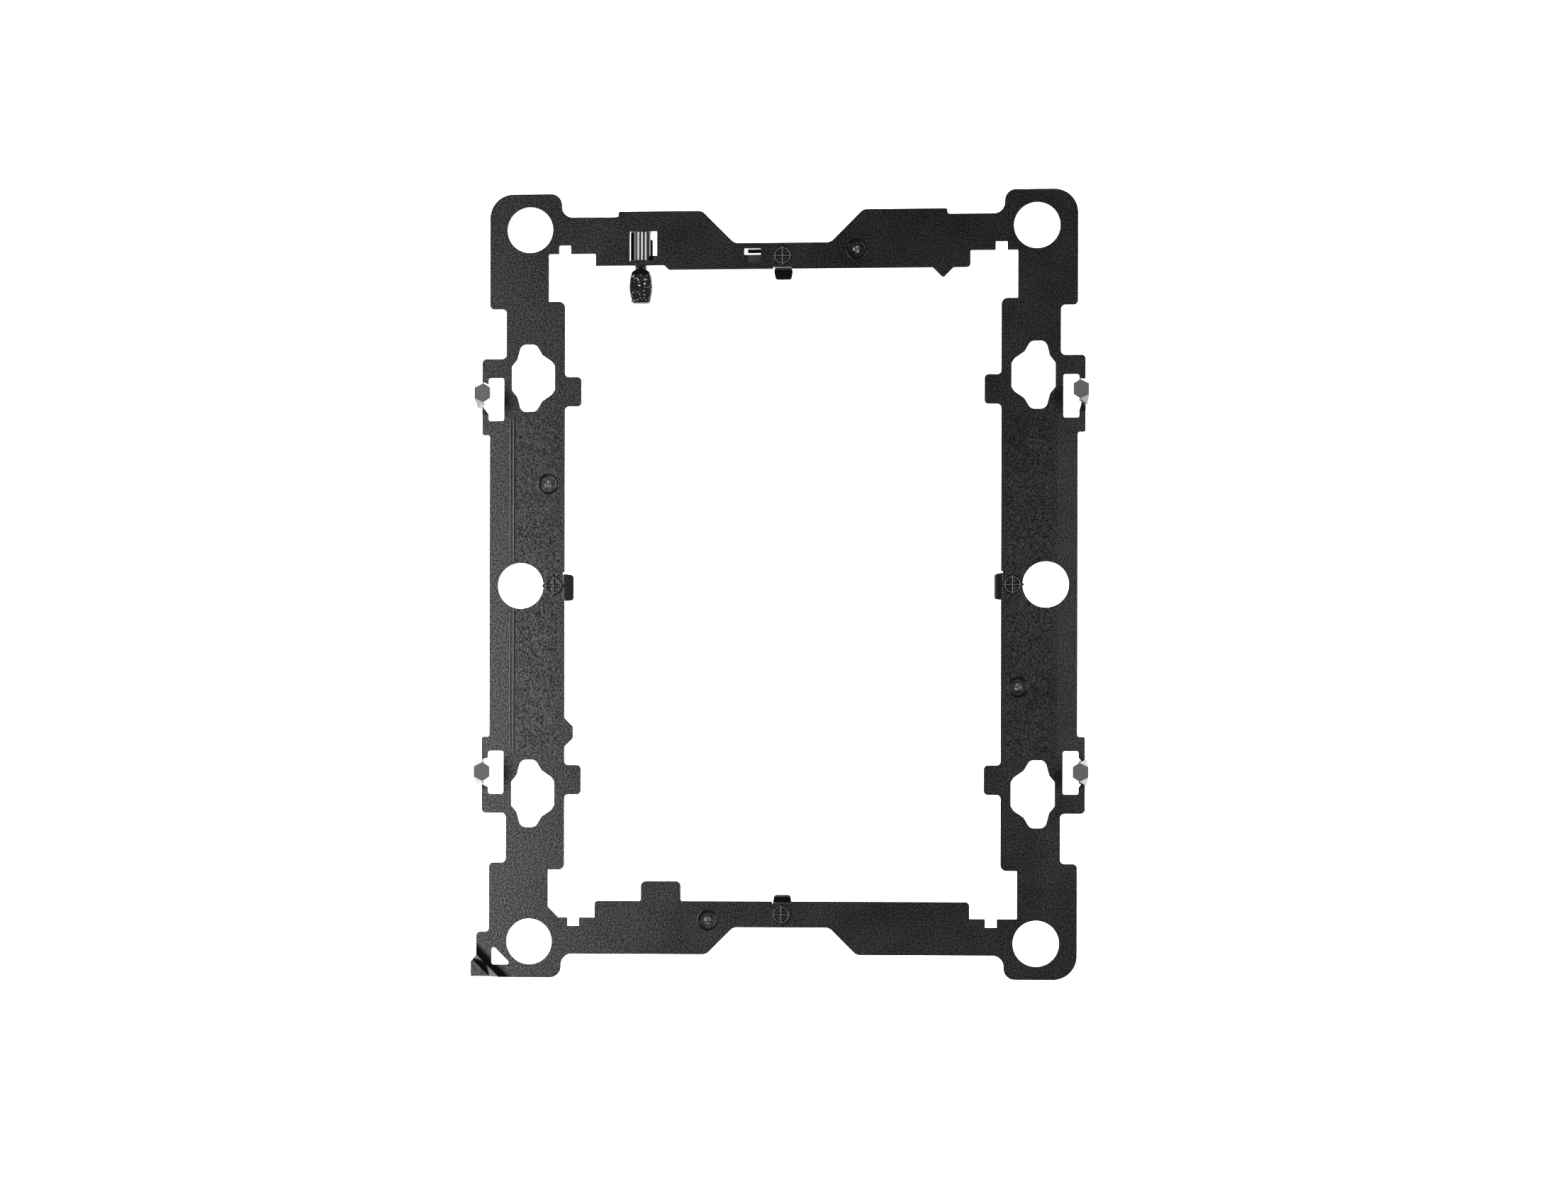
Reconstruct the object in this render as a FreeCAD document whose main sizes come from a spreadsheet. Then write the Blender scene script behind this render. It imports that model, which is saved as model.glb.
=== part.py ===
import FreeCAD, Part
import os
import re

import Sketcher

# Processor carrier frame with a release lever, all lengths in millimetres.
# The frame lies flat: X runs across its short way, Y along its long way, and Z points
# up to the heat sink side. The origin is the centre of the four corner holes, on the
# top face of the plate. Both long bars are alike, so most sizes are distances from
# the origin and serve on both sides.

SIZES = {
    # plate and the levels below it
    "plate_thickness": 1.2,
    "seat_depth": 2.3,
    "package_thickness": 2.0,
    "package_half_width": 35.25,
    "package_half_length": 52.5,
    "package_gap": 0.1,
    "opening_half_width": "=package_half_width + 0.47",
    "opening_half_length": "=package_half_length - 0.75",
    # outer outline
    "half_width": "=opening_half_width + 12.43",
    "pad_height": "=opening_half_length + 12.65",
    "pad_inner": "=opening_half_width + 0.53",
    "pad_end": "=opening_half_length - 6.25",
    "pad_corner_radius": 3.9,
    "pad_blend_radius": 1.8,
    "shoulder_height": "=opening_half_length + 8.75",
    "raised_height": "=opening_half_length + 9.65",
    "raised_end": 26.95,
    "bar_height": "=opening_half_length + 4.3",
    "dip_half": 7.85,
    "dip_radius": 1.5,
    "waist": "=opening_half_width + 9.68",
    "shelf": "=opening_half_width + 13.68",
    "shelf_start": 37.35,
    "shelf_end": 24.8,
    "step_radius": 0.7,
    "small_radius": 0.35,
    # opening
    "recess_width": "=opening_half_width + 2.68",
    "recess_height": "=opening_half_length + 2.75",
    "recess_start": "=opening_half_width - 5.02",
    "recess_end": "=opening_half_length - 5.05",
    "recess_radius": 1.0,
    "key_width": 1.9,
    "key_depth": 1.4,
    "key_top": "=opening_half_width + 0.03",
    "key_bottom": "=opening_half_width - 1.52",
    "corner_cut": 1.75,
    "tab_reach": 2.72,
    "tab_low": 29.45,
    "tab_high": 34.3,
    "tab_radius": 0.65,
    "lever_edge": "=opening_half_length + 0.75",
    "lever_edge_end": 19.4,
    "tooth_place": "=opening_half_width - 9.47",
    "tooth_reach": 1.7,
    "stud_place": 24.1,
    "stud_half": 0.95,
    "stud_reach": 1.42,
    "label_inner": 16.5,
    "label_outer": 23.05,
    "label_reach": 3.25,
    "label_radius": 0.8,
    # round holes
    "hole_across": "=opening_half_width + 5.78",
    "hole_along": "=opening_half_length + 6.75",
    "side_hole_across": "=opening_half_width + 7.28",
    "hole_radius": 3.75,
    # shaped holes in line with the corner holes
    "shaped_along": 34.15,
    "shaped_outer": 3.0,
    "shaped_inner": 4.1,
    "shaped_flat": 1.95,
    "shaped_half_length": 5.52,
    "outer_shoulder": 2.1,
    "outer_shoulder_height": 3.05,
    "inner_shoulder": 2.0,
    "inner_shoulder_height": 3.8,
    "inner_step": 3.6,
    "inner_step_height": 2.7,
    "outer_lobe": 1.45,
    "inner_lobe": 1.0,
    "lobe_radius": 1.1,
    # slots beside the clips
    "slot_inner": "=shelf - 3.6",
    "slot_width": 2.55,
    "slot_length": 7.05,
    "slot_place": 30.67,
    # corner that marks the first contact
    "block_reach": "=half_width + 2.1",
    "block_start": "=pad_height - 7.5",
    "post_reach": "=half_width + 3.35",
    "post_start": "=pad_height - 2.5",
    "post_depth": 4.2,
    "post_leg": 5.6,
    "ramp_leg": 5.0,
    "ledge_leg": 3.15,
    "ledge_depth": 2.4,
    "mark_corner": "=half_width - 0.45",
    "mark_base": "=pad_height - 2.1",
    "mark_leg": 3.3,
    # heat sink clips
    "clip_foot": 4.86,
    "clip_waist": 4.26,
    "clip_waist_height": 5.3,
    "clip_height": 9.0,
    "clip_catch": 7.1,
    "clip_flare": 0.1,
    "clip_nose": 1.36,
    "clip_ridge": 3.0,
    "clip_ridge_place": 1.42,
    "clip_nose_width": 1.72,
    "clip_back_width": 1.5,
    "clip_edge_radius": 0.14,
    # package latches
    "latch_setback": 0.28,
    "latch_thickness": 1.1,
    "latch_nose": 0.96,
    "latch_depth": 6.8,
    "latch_lip": 0.7,
    "latch_run": 0.85,
    "latch_corner_radius": 0.45,
    "side_latch_root": 4.5,
    "side_latch_tip": 4.15,
    "end_latch_root": 3.1,
    "end_latch_tip": 2.65,
    # ribs under the plate
    "rail_inset": 0.28,
    "rail_width": 1.1,
    "rail_depth": 3.2,
    "rail_start": 3.3,
    "rail_end": 28.5,
    "seat_inset": 0.25,
    "seat_end": 16.1,
    "edge_rib_width": 0.85,
    "edge_rib_depth": 2.8,
    "edge_rib_half": 7.4,
    # lever window, bearings and catch
    "window_left": 25.1,
    "window_right": 20.6,
    "window_low": "=opening_half_length + 1.55",
    "window_high": "=window_low + 4.8",
    "lever_across": 23.35,
    "lever_depth": 1.4,
    "bearing_width": 3.5,
    "bearing_depth": 2.9,
    "bearing_mouth": 1.3,
    "bearing_length": 1.5,
    "catch_left": 6.25,
    "catch_right": 3.55,
    "catch_low": "=opening_half_length + 1.05",
    "catch_high": "=catch_low + 2.35",
    "catch_side_gap": 0.45,
    "catch_depth": 3.0,
    "catch_nose": 0.45,
    "catch_gap": 0.1,
    # gate recesses and insert recesses
    "gate_radius": 1.52,
    "gate_nub_radius": 0.42,
    "gate_depth": 0.35,
    "gate_end_across": 12.1,
    "gate_end_along": "=opening_half_length + 3.15",
    "gate_side_across": "=opening_half_width + 2.83",
    "gate_side_along": 16.7,
    "insert_inner": "=opening_half_width + 0.88",
    "insert_outer": "=opening_half_width + 8.28",
    "insert_long": 27.9,
    "insert_short": 27.3,
    "insert_depth": 0.1,
    # release lever
    "running_gap": 0.05,
    "end_gap": 0.1,
    "neck_radius": 0.78,
    "drum_radius": 1.7,
    "journal_length": 1.2,
    "collar_radius": 1.0,
    "cam_start": 1.3,
    "cam_top_radius": 1.62,
    "cam_top": 1.68,
    "cam_middle_radius": 2.04,
    "cam_middle": 4.2,
    "cam_end_radius": 1.52,
    "cam_end": 6.8,
    "cam_top_round": 0.5,
    "cam_middle_round": 8.0,
    "cam_end_round": 0.3,
    "cam_thickness": 1.7,
    "flute_radius": 0.17,
    "flute_count": 4,
    "flute_spread": 63.0,
    "flute_first": 10.5,
    "arm_length": 20.4,
    "arm_root_length": 2.75,
    "arm_width": 1.4,
    "arm_jog": 0.5,
    "arm_thickness": 1.4,
    "arm_below_plate": 0.1,
    "arm_tip_radius": 0.6,
    "web_length": 1.98,
    "web_width": 3.5,
    "web_corner_radius": 0.2,
    "pull_length": 1.6,
    "pull_depth": 0.8,
    # how far a cutting outline runs on past what it cuts
    "overrun": 1.0,
}

doc = FreeCAD.newDocument("carrier")
sheet = doc.addObject("Spreadsheet::Sheet", "Sizes")
for row, (alias, amount) in enumerate(SIZES.items(), start=1):
    sheet.set(f"A{row}", alias.replace("_", " "))
    sheet.set(f"B{row}", str(amount))
    sheet.setAlias(f"B{row}", alias)
doc.recompute()


def formula(text):
    """A formula in plain size names, with each name pointed at its cell."""
    def cell(word):
        return "Sizes." + word[0] if word[0] in SIZES else word[0]
    return re.sub(r"[a-z_]+", cell, str(text))


def bind(thing, prop, text):
    thing.setExpression(prop, formula(text))


def plane(body, role):
    """One of the body's own origin planes or axes."""
    return next(item for item in body.Origin.OriginFeatures if item.Role == role)


def new_body(label):
    return doc.addObject("PartDesign::Body", label)


def new_sketch(body, name, role="XY_Plane", offset="0"):
    sketch = body.newObject("Sketcher::SketchObject", name)
    sketch.AttachmentSupport = [(plane(body, role), "")]
    sketch.MapMode = "FlatFace"
    bind(sketch, "AttachmentOffset.Base.z", offset)
    return sketch


def place_points(sketch, places):
    """Tie points of the sketch to formulas for their two distances from the origin."""
    ties = []
    for geometry, vertex, x, y in places:
        ties.append(Sketcher.Constraint("DistanceX", -1, 1, geometry, vertex, 1.0))
        ties.append(Sketcher.Constraint("DistanceY", -1, 1, geometry, vertex, 1.0))
    numbers = sketch.addConstraint(ties)
    texts = [text for place in places for text in place[2:]]
    for number, text in zip(numbers, texts):
        bind(sketch, f"Constraints[{number}]", text)


def draw_outline(sketch, corners):
    """A closed outline of straight edges through corners given as formulas."""
    first = sketch.GeometryCount
    count = len(corners)
    ring = [FreeCAD.Vector(10, 0, 0)] * count
    for k in range(count):
        turn = FreeCAD.Rotation(FreeCAD.Vector(0, 0, 1), -360.0 * k / count)
        ring[k] = turn.multVec(FreeCAD.Vector(10, 0, 0))
    edges = [Part.LineSegment(ring[k], ring[(k + 1) % count]) for k in range(count)]
    sketch.addGeometry(edges, False)
    joins = [
        Sketcher.Constraint("Coincident", first + k, 2, first + (k + 1) % count, 1)
        for k in range(count)
    ]
    sketch.addConstraint(joins)
    place_points(sketch, [(first + k, 1, *corner[:2]) for k, corner in enumerate(corners)])


def draw_circle(sketch, x, y, radius):
    number = sketch.addGeometry(Part.Circle(FreeCAD.Vector(1, 1, 0), FreeCAD.Vector(0, 0, 1), 1), False)
    place_points(sketch, [(number, 3, x, y)])
    tie = sketch.addConstraint(Sketcher.Constraint("Radius", number, 1.0))
    bind(sketch, f"Constraints[{tie}]", radius)


def draw_box(sketch, x_low, x_high, y_low, y_high):
    draw_outline(sketch, [(x_low, y_low), (x_low, y_high), (x_high, y_high), (x_high, y_low)])


def pad(body, name, sketch, length, down=False, middle=False):
    feature = body.newObject("PartDesign::Pad", name)
    feature.Profile = sketch
    feature.Reversed = down
    feature.SideType = "Symmetric" if middle else "One side"
    bind(feature, "Length", length)
    doc.recompute()
    return feature


def pocket(body, name, sketch, length, up=False, middle=False):
    """A cut from the sketch into the solid; it must take something away."""
    before = body.Shape.Volume
    feature = body.newObject("PartDesign::Pocket", name)
    feature.Profile = sketch
    feature.Reversed = up
    feature.SideType = "Symmetric" if middle else "One side"
    bind(feature, "Length", length)
    doc.recompute()
    if not body.Shape.Volume < before:
        raise RuntimeError(f"{name} cuts nothing")
    return feature


def upright_edges(shape, spots):
    """Names of the upright edges that stand on the given spots."""
    names = []
    for number, edge in enumerate(shape.Edges, start=1):
        ends = [vertex.Point for vertex in edge.Vertexes]
        if len(ends) < 2 or abs(ends[0].z - ends[1].z) < 1e-6:
            continue
        if (ends[0].x - ends[1].x) ** 2 + (ends[0].y - ends[1].y) ** 2 > 1e-8:
            continue
        for spot in spots:
            if (ends[0].x - spot.x) ** 2 + (ends[0].y - spot.y) ** 2 < 1e-8:
                names.append(f"Edge{number}")
    return names


def ring_edges(shape, spots):
    """Names of the round edges that the given spots sweep when they turn about the Y axis."""
    names = []
    for number, edge in enumerate(shape.Edges, start=1):
        if not isinstance(edge.Curve, Part.Circle):
            continue
        for spot in spots:
            if abs(edge.Curve.Radius - spot.x) + abs(edge.Curve.Center.y - spot.y) < 1e-4:
                names.append(f"Edge{number}")
    return names


def top_edges(shape):
    """Names of the edges round a shape's top face."""
    top = shape.BoundBox.ZMax
    return [
        f"Edge{number}" for number, edge in enumerate(shape.Edges, start=1)
        if all(abs(vertex.Point.z - top) < 1e-6 for vertex in edge.Vertexes)
    ]


def fillet(body, name, edges, radius):
    feature = body.newObject("PartDesign::Fillet", name)
    feature.Base = (feature.BaseFeature, edges)
    bind(feature, "Radius", radius)
    doc.recompute()
    return feature


def round_corners(body, name, sketch, corners, find=upright_edges):
    """Round the edges over an outline's corners, one fillet for each radius."""
    doc.recompute()
    spots = {}
    for k, corner in enumerate(corners):
        if corner[2]:
            spots.setdefault(corner[2], []).append(sketch.Geometry[k].StartPoint)
    for radius, points in spots.items():
        fillet(body, f"{name}_{radius}", find(body.Tip.Shape, points), radius)


def mirrored(corners, across=False, along=False):
    """The same corners on the other side, in reverse so that the outline runs on."""
    turned = [
        (f"-({x})" if across else x, f"-({y})" if along else y, radius)
        for x, y, radius in corners
    ]
    return turned[::-1]


def signs():
    """The four quarters of the frame."""
    return [(across, along) for across in (1, -1) for along in (1, -1)]


# Outer outline, clockwise from the middle of the top bar

TOP_RAISED = [
    ("dip_half", "bar_height", "dip_radius"),
    ("dip_half + raised_height - bar_height", "raised_height", "dip_radius"),
    ("raised_end", "raised_height", "small_radius"),
    ("raised_end", "shoulder_height", "small_radius"),
]
PLAIN_SLOPE = [
    ("dip_half", "bar_height", "dip_radius"),
    ("dip_half + shoulder_height - bar_height", "shoulder_height", "dip_radius"),
]
PAD_INNER = [
    ("pad_inner", "shoulder_height", "pad_blend_radius"),
    ("pad_inner", "pad_height", "pad_blend_radius"),
]
PAD_CORNER = [("half_width", "pad_height", "pad_corner_radius")]
LONG_SIDE = [
    ("half_width", "pad_end", "step_radius"),
    ("waist", "pad_end", "step_radius"),
    ("waist", "shelf_start", "step_radius"),
    ("shelf", "shelf_start", "step_radius"),
    ("shelf", "shelf_end", "small_radius"),
    ("half_width", "shelf_end", "small_radius"),
]
FIRST_CONTACT_CORNER = [
    ("-post_reach", "-pad_height", ""),
    ("-post_reach", "-post_start", ""),
    ("-block_reach", "-(post_start - post_reach + block_reach)", ""),
    ("-block_reach", "-block_start", "step_radius"),
    ("-half_width", "-block_start", "step_radius"),
]
LOWER_BAR = PLAIN_SLOPE + PAD_INNER
OUTER = (
    TOP_RAISED + PAD_INNER + PAD_CORNER + LONG_SIDE
    + mirrored(LONG_SIDE, along=True)
    + mirrored(LOWER_BAR + PAD_CORNER, along=True)
    + mirrored(mirrored(LOWER_BAR, along=True), across=True)
    + FIRST_CONTACT_CORNER
    + mirrored(mirrored(LONG_SIDE, along=True), across=True)
    + mirrored(TOP_RAISED + PAD_INNER + PAD_CORNER + LONG_SIDE, across=True)
)

# Opening outline, clockwise from the middle of the top bar


def key_notch(place):
    """The square keying notch in the end of a corner recess."""
    return [
        (f"{place} - key_width / 2", "recess_height", ""),
        (f"{place} - key_width / 2", "recess_height + key_depth", ""),
        (f"{place} + key_width / 2", "recess_height + key_depth", ""),
        (f"{place} + key_width / 2", "recess_height", ""),
    ]


RECESS_START = [
    ("recess_start", "opening_half_length", "tab_radius"),
    ("recess_start", "recess_height", ""),
]
RECESS_CORNER = [("recess_width", "recess_height", "")]
LONG_OPENING = [
    ("recess_width", "recess_end", ""),
    ("opening_half_width", "recess_end", "recess_radius"),
    ("opening_half_width", "tab_high", "tab_radius"),
    ("opening_half_width - tab_reach", "tab_high", "tab_radius"),
    ("opening_half_width - tab_reach", "tab_low", "tab_radius"),
    ("opening_half_width", "tab_low", "tab_radius"),
]
SIDE_SETBACK = [
    ("opening_half_width", "side_latch_root / 2", ""),
    ("opening_half_width + latch_setback", "side_latch_root / 2", ""),
]
END_SETBACK = [
    ("end_latch_root / 2", "opening_half_length + latch_setback", ""),
    ("end_latch_root / 2", "opening_half_length", ""),
]
TOOTH = [
    ("tooth_place - tooth_reach", "opening_half_length", "small_radius"),
    ("tooth_place", "opening_half_length - tooth_reach", "small_radius"),
    ("tooth_place + tooth_reach", "opening_half_length", "small_radius"),
]
STUD = [
    ("-opening_half_width", "-(stud_place + stud_half + stud_reach)", "step_radius"),
    ("-(opening_half_width - stud_reach)", "-(stud_place + stud_half)", "small_radius"),
    ("-(opening_half_width - stud_reach)", "-(stud_place - stud_half)", "small_radius"),
    ("-opening_half_width", "-(stud_place - stud_half - stud_reach)", "step_radius"),
]
LABEL_TAB = [
    ("-label_inner", "-opening_half_length", "small_radius"),
    ("-label_inner", "-(opening_half_length - label_reach)", "label_radius"),
    ("-label_outer", "-(opening_half_length - label_reach)", "label_radius"),
    ("-label_outer", "-opening_half_length", "small_radius"),
]
CUT_CORNER = [
    ("-(recess_width - corner_cut)", "-recess_height", ""),
    ("-recess_width", "-(recess_height - corner_cut)", ""),
]
LEVER_EDGE = [
    ("-recess_start", "lever_edge", ""),
    ("-lever_edge_end", "lever_edge", ""),
    ("-(lever_edge_end - lever_edge + opening_half_length)", "opening_half_length", ""),
]
TOP_CORNER = key_notch("key_top") + RECESS_CORNER + LONG_OPENING
BOTTOM_CORNER = RECESS_START + key_notch("key_bottom")
OPENING = (
    END_SETBACK + TOOTH + RECESS_START + TOP_CORNER + SIDE_SETBACK
    + mirrored(RECESS_CORNER + LONG_OPENING + SIDE_SETBACK, along=True)
    + mirrored(END_SETBACK + BOTTOM_CORNER, along=True)
    + mirrored(mirrored(END_SETBACK, along=True), across=True)
    + LABEL_TAB
    + mirrored(mirrored(BOTTOM_CORNER, along=True), across=True)
    + CUT_CORNER
    + mirrored(mirrored(LONG_OPENING, along=True), across=True)
    + STUD
    + mirrored(mirrored(SIDE_SETBACK, along=True), across=True)
    + mirrored(TOP_CORNER + SIDE_SETBACK, across=True)
    + [("-recess_start", "recess_height", "")]
    + LEVER_EDGE
    + mirrored(END_SETBACK, across=True)
)


def shaped_hole():
    """A shaped hole of the first quarter: flat sides, sloping shoulders and a lobe at each end."""
    half = [
        ("shaped_outer", "shaped_flat", "small_radius"),
        ("outer_shoulder", "outer_shoulder_height", "small_radius"),
        ("outer_lobe", "shaped_half_length", "lobe_radius"),
        ("-inner_lobe", "shaped_half_length", "lobe_radius"),
        ("-inner_shoulder", "inner_shoulder_height", "small_radius"),
        ("-inner_step", "inner_step_height", "small_radius"),
        ("-shaped_inner", "shaped_flat", "small_radius"),
    ]
    loop = half + mirrored(half, along=True)
    return [(f"hole_across + {x}", f"shaped_along + {y}", radius) for x, y, radius in loop]


def rounded_core(label, corners, depth="plate_thickness"):
    """A block with a rounded outline, from the top face down, to keep or to cut away."""
    body = new_body(label)
    sketch = new_sketch(body, f"{label}_outline")
    draw_outline(sketch, corners)
    pad(body, f"{label}_block", sketch, depth, down=True)
    round_corners(body, f"{label}_round", sketch, corners)
    return body


def box(label, x_low, x_high, y_low, y_high, z_low, z_high):
    """A plain block between six formulas."""
    block = doc.addObject("Part::Box", label)
    sides = (("Length", "x", x_low, x_high), ("Width", "y", y_low, y_high), ("Height", "z", z_low, z_high))
    for side, letter, low, high in sides:
        bind(block, side, f"({high}) - ({low})")
        bind(block, f"Placement.Base.{letter}", low)
    return block


def copy_mirrored(source, label, normal):
    twin = doc.addObject("Part::Mirroring", label)
    twin.Source = source
    twin.Normal = normal
    return twin


ACROSS = FreeCAD.Vector(1, 0, 0)
ALONG = FreeCAD.Vector(0, 1, 0)


def four_ways(source):
    """A piece of the first quarter and its three mirrored copies."""
    name = source.Name
    other = copy_mirrored(source, f"{name}_left", ACROSS)
    return [
        source, other,
        copy_mirrored(source, f"{name}_lower", ALONG),
        copy_mirrored(other, f"{name}_lower_left", ALONG),
    ]


def join(label, kind, pieces):
    """One boolean over several pieces."""
    whole = doc.addObject(kind, label)
    if kind == "Part::Cut":
        whole.Base, whole.Tool = pieces
    else:
        whole.Shapes = pieces
    doc.recompute()
    return whole


def round_holes():
    """The cores of the four corner holes and the two side holes."""
    places = [(f"{across} * hole_across", f"{along} * hole_along") for across, along in signs()]
    places += [("side_hole_across", "0"), ("-side_hole_across", "0")]
    cores = []
    for number, (x, y) in enumerate(places):
        core = doc.addObject("Part::Cylinder", f"hole_core_{number}")
        bind(core, "Radius", "hole_radius")
        bind(core, "Height", "plate_thickness")
        bind(core, "Placement.Base.x", x)
        bind(core, "Placement.Base.y", y)
        bind(core, "Placement.Base.z", "-plate_thickness")
        cores.append(core)
    return cores


def gate_cores():
    """Rings cut round the four moulding gates, each with a nub left in the middle."""
    cores = []
    places = (
        ("gate_end_across", "gate_end_along"), ("-gate_end_across", "-gate_end_along"),
        ("-gate_side_across", "gate_side_along"), ("gate_side_across", "-gate_side_along"),
    )
    for number, (x, y) in enumerate(places):
        body = new_body(f"gate_core_{number}")
        sketch = new_sketch(body, f"gate_profile_{number}", "XZ_Plane")
        draw_outline(sketch, [
            ("gate_nub_radius", "-gate_depth"),
            ("gate_nub_radius", "-gate_depth / 3"),
            ("0", "-gate_depth / 4"),
            ("0", "0"),
            ("gate_radius", "0"),
            ("gate_radius - gate_depth / 2", "-gate_depth"),
        ])
        doc.recompute()
        ring = body.newObject("PartDesign::Revolution", f"gate_ring_{number}")
        ring.Profile = sketch
        ring.ReferenceAxis = (sketch, ["V_Axis"])
        ring.Angle = 360.0
        bind(body, "Placement.Base.x", x)
        bind(body, "Placement.Base.y", y)
        cores.append(body)
    return cores


def plate_cores():
    """Everything that is cut out of the plate itself, down from its top face."""
    quarter = shaped_hole()
    slot = [
        ("slot_inner", "slot_place + slot_length / 2", "small_radius"),
        ("slot_inner + slot_width", "slot_place + slot_length / 2", "small_radius"),
        ("slot_inner + slot_width", "slot_place - slot_length / 2", "small_radius"),
        ("slot_inner", "slot_place - slot_length / 2", "small_radius"),
    ]
    mark = [
        ("-mark_corner", "-mark_base", "small_radius"),
        ("-mark_corner", "-(mark_base - mark_leg)", "small_radius"),
        ("-(mark_corner - mark_leg)", "-mark_base", "small_radius"),
    ]
    cores = [rounded_core("opening", OPENING), rounded_core("first_contact_mark", mark)]
    cores += four_ways(rounded_core("shaped_hole", quarter))
    cores += four_ways(rounded_core("clip_slot", slot))
    cores += round_holes() + gate_cores()
    bottom = "-plate_thickness"
    cores.append(box(
        "lever_window", "-window_left", "-window_right", "window_low", "window_high", bottom, "0",
    ))
    cores.append(box(
        "catch_window", "-catch_left", "-catch_right", "catch_low", "catch_high", bottom, "0",
    ))
    cores.append(box(
        "insert_left", "-insert_outer", "-insert_inner", "-insert_short", "insert_long",
        "-insert_depth", "0",
    ))
    cores.append(box(
        "insert_right", "insert_inner", "insert_outer", "-insert_long", "insert_short",
        "-insert_depth", "0",
    ))
    return cores


def underside():
    """Seats, guide rails, edge ribs, lever bearings and the lever catch under the plate."""
    top = "-plate_thickness"
    pads = four_ways(box(
        "seat_pad",
        "opening_half_width - tab_reach + seat_inset", "opening_half_width + seat_inset",
        "tab_low + seat_inset", "tab_high - seat_inset", "-seat_depth", top,
    ))
    pads += four_ways(box(
        "guide_rail",
        "opening_half_width + rail_inset", "opening_half_width + rail_inset + rail_width",
        "rail_start", "rail_end", "-rail_depth", top,
    ))
    seat_low = "opening_half_length + seat_inset / 2"
    foot_end = "recess_start - seat_inset - tab_radius"
    top_end = "tooth_place - tooth_reach"
    for name, x_low, x_high, y_low, y_high in (
        ("seat_top_right", "rail_start", top_end, seat_low, "package_half_length"),
        ("seat_top_left", "-seat_end", "-rail_start", seat_low, "package_half_length"),
        ("seat_foot_right", "rail_start", foot_end, "-package_half_length", f"-({seat_low})"),
        ("seat_foot_left", f"-({foot_end})", "-rail_start", "-package_half_length", f"-({seat_low})"),
    ):
        pads.append(box(name, x_low, x_high, y_low, y_high, "-seat_depth", top))
    inner = "bar_height - edge_rib_width"
    ends = ("-edge_rib_half", "edge_rib_half")
    pads.append(box("edge_rib_top", *ends, inner, "bar_height", "-edge_rib_depth", top))
    pads.append(box("edge_rib_foot", *ends, "-bar_height", f"-({inner})", "-edge_rib_depth", top))
    left = "-(lever_across + bearing_width / 2)"
    right = "-(lever_across - bearing_width / 2)"
    pads.append(box("near_bearing", left, right, "lever_edge", "window_low", "-bearing_depth", top))
    pads.append(box(
        "far_bearing", left, right, "window_high", "window_high + bearing_length",
        "-bearing_depth", top,
    ))
    body = new_body("lever_catch")
    catch_start = "catch_left - catch_side_gap"
    catch = new_sketch(body, "catch_profile", "YZ_Plane", f"-({catch_start})")
    draw_outline(catch, [
        ("catch_high", "-plate_thickness"),
        ("bar_height", "-plate_thickness"),
        ("bar_height", "-catch_depth"),
        ("catch_high", "-catch_depth"),
        ("catch_high - catch_nose + catch_gap", "-(catch_depth - catch_nose / 2)"),
        ("catch_high", "-(catch_depth - catch_nose)"),
    ])
    pad(body, "catch_block", catch, f"{catch_start} - catch_right")
    return pads + [body]


def corner_post():
    """The post under the marked corner, from the top face down."""
    return rounded_core("corner_post", [
        ("-post_reach", "-pad_height", ""),
        ("-post_reach", "-post_start", ""),
        ("-block_reach", "-(post_start - post_reach + block_reach)", ""),
        ("-block_reach", "-(pad_height - post_leg + post_reach - block_reach)", ""),
        ("-(post_reach - post_leg)", "-pad_height", ""),
    ], "post_depth")


def ramp_core():
    """The wedge cut off the marked corner, which leaves a ramp and a low ledge."""
    body = new_body("ramp")
    side = new_sketch(body, "ramp_side", "XZ_Plane")
    draw_outline(side, [
        ("-overrun", "0"),
        ("ramp_leg / sqrt(2)", "0"),
        ("ledge_leg / sqrt(2)", "-ledge_depth"),
        ("-overrun", "-ledge_depth"),
    ])
    pad(body, "ramp_wedge", side, "2 * (ramp_leg + overrun)", middle=True)
    body.Placement.Rotation = FreeCAD.Rotation(FreeCAD.Vector(0, 0, 1), 45)
    bind(body, "Placement.Base.x", "-post_reach")
    bind(body, "Placement.Base.y", "-pad_height")
    return body


def bearing_cores():
    """The bore through both lever bearings and the mouth that the lever snaps in by."""
    length = "window_high - lever_edge + journal_length + end_gap"
    bore = doc.addObject("Part::Cylinder", "bearing_bore")
    bore.Placement.Rotation = FreeCAD.Rotation(ACROSS, -90)
    bind(bore, "Radius", "neck_radius + running_gap")
    bind(bore, "Height", length)
    bind(bore, "Placement.Base.x", "-lever_across")
    bind(bore, "Placement.Base.y", "lever_edge")
    bind(bore, "Placement.Base.z", "-lever_depth")
    mouth = box(
        "bearing_mouth",
        "-(lever_across + bearing_mouth / 2)", "-(lever_across - bearing_mouth / 2)",
        "lever_edge", f"lever_edge + {length}", "-bearing_depth", "-lever_depth",
    )
    return [bore, mouth]


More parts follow.
